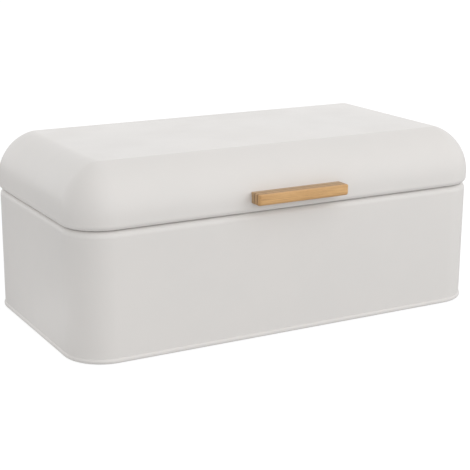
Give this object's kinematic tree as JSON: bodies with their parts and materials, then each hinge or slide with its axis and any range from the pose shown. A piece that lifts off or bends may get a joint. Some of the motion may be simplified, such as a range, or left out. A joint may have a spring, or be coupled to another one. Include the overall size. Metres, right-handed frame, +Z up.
{
  "type": "bread bin",
  "caption": "Rectangular steel bread bin with rounded corners, a rolled foot rim, a domed lid hinged at the back and a bamboo bar handle.",
  "frame": {"origin": "on the worktop, under the middle of the whole footprint with the handle and the hinges included", "axes": "+Z up; -Y is the front, where the handle is; +X runs along the length, to the right when the front is faced"},
  "size_m": [0.422, 0.2448, 0.1718],
  "materials": {
    "enamel": "satin powder coat, warm off-white",
    "bamboo": "oiled laminated bamboo",
    "hinge_steel": "zinc-plated",
    "rivet_steel": "bright-plated",
    "washer_fibre": "matt fibre",
    "foot_rubber": "matt rubber",
    "pad_silicone": "soft translucent silicone"
  },
  "bodies": {
    "base": {"base_wall": "enamel", "neck_collar": "enamel", "bottom_panel": "enamel", "bottom_rim": "enamel", "wall_seam_cleat": "enamel", "feet": "foot_rubber", "lid_rest_pads": "pad_silicone", "base_hinge_leaf_left": "hinge_steel", "base_hinge_leaf_right": "hinge_steel", "base_hinge_rivets": "rivet_steel", "hinge_pins": "rivet_steel"},
    "lid": {"lid_shell": "enamel", "lid_hinge_leaf_left": "hinge_steel", "lid_hinge_leaf_right": "hinge_steel", "lid_hinge_rivets": "rivet_steel", "handle_front_strip": "bamboo", "handle_core_strip": "bamboo", "handle_back_strip": "bamboo", "handle_screws": "rivet_steel", "handle_washers": "washer_fibre"}
  },
  "joints": [
    {"name": "lid_hinge", "type": "hinge", "parent": "base", "child": "lid", "pos_m": [0, 0.1176, 0.1175], "axis": [-1, 0, 0], "range_deg": [0, 100]}
  ]
}
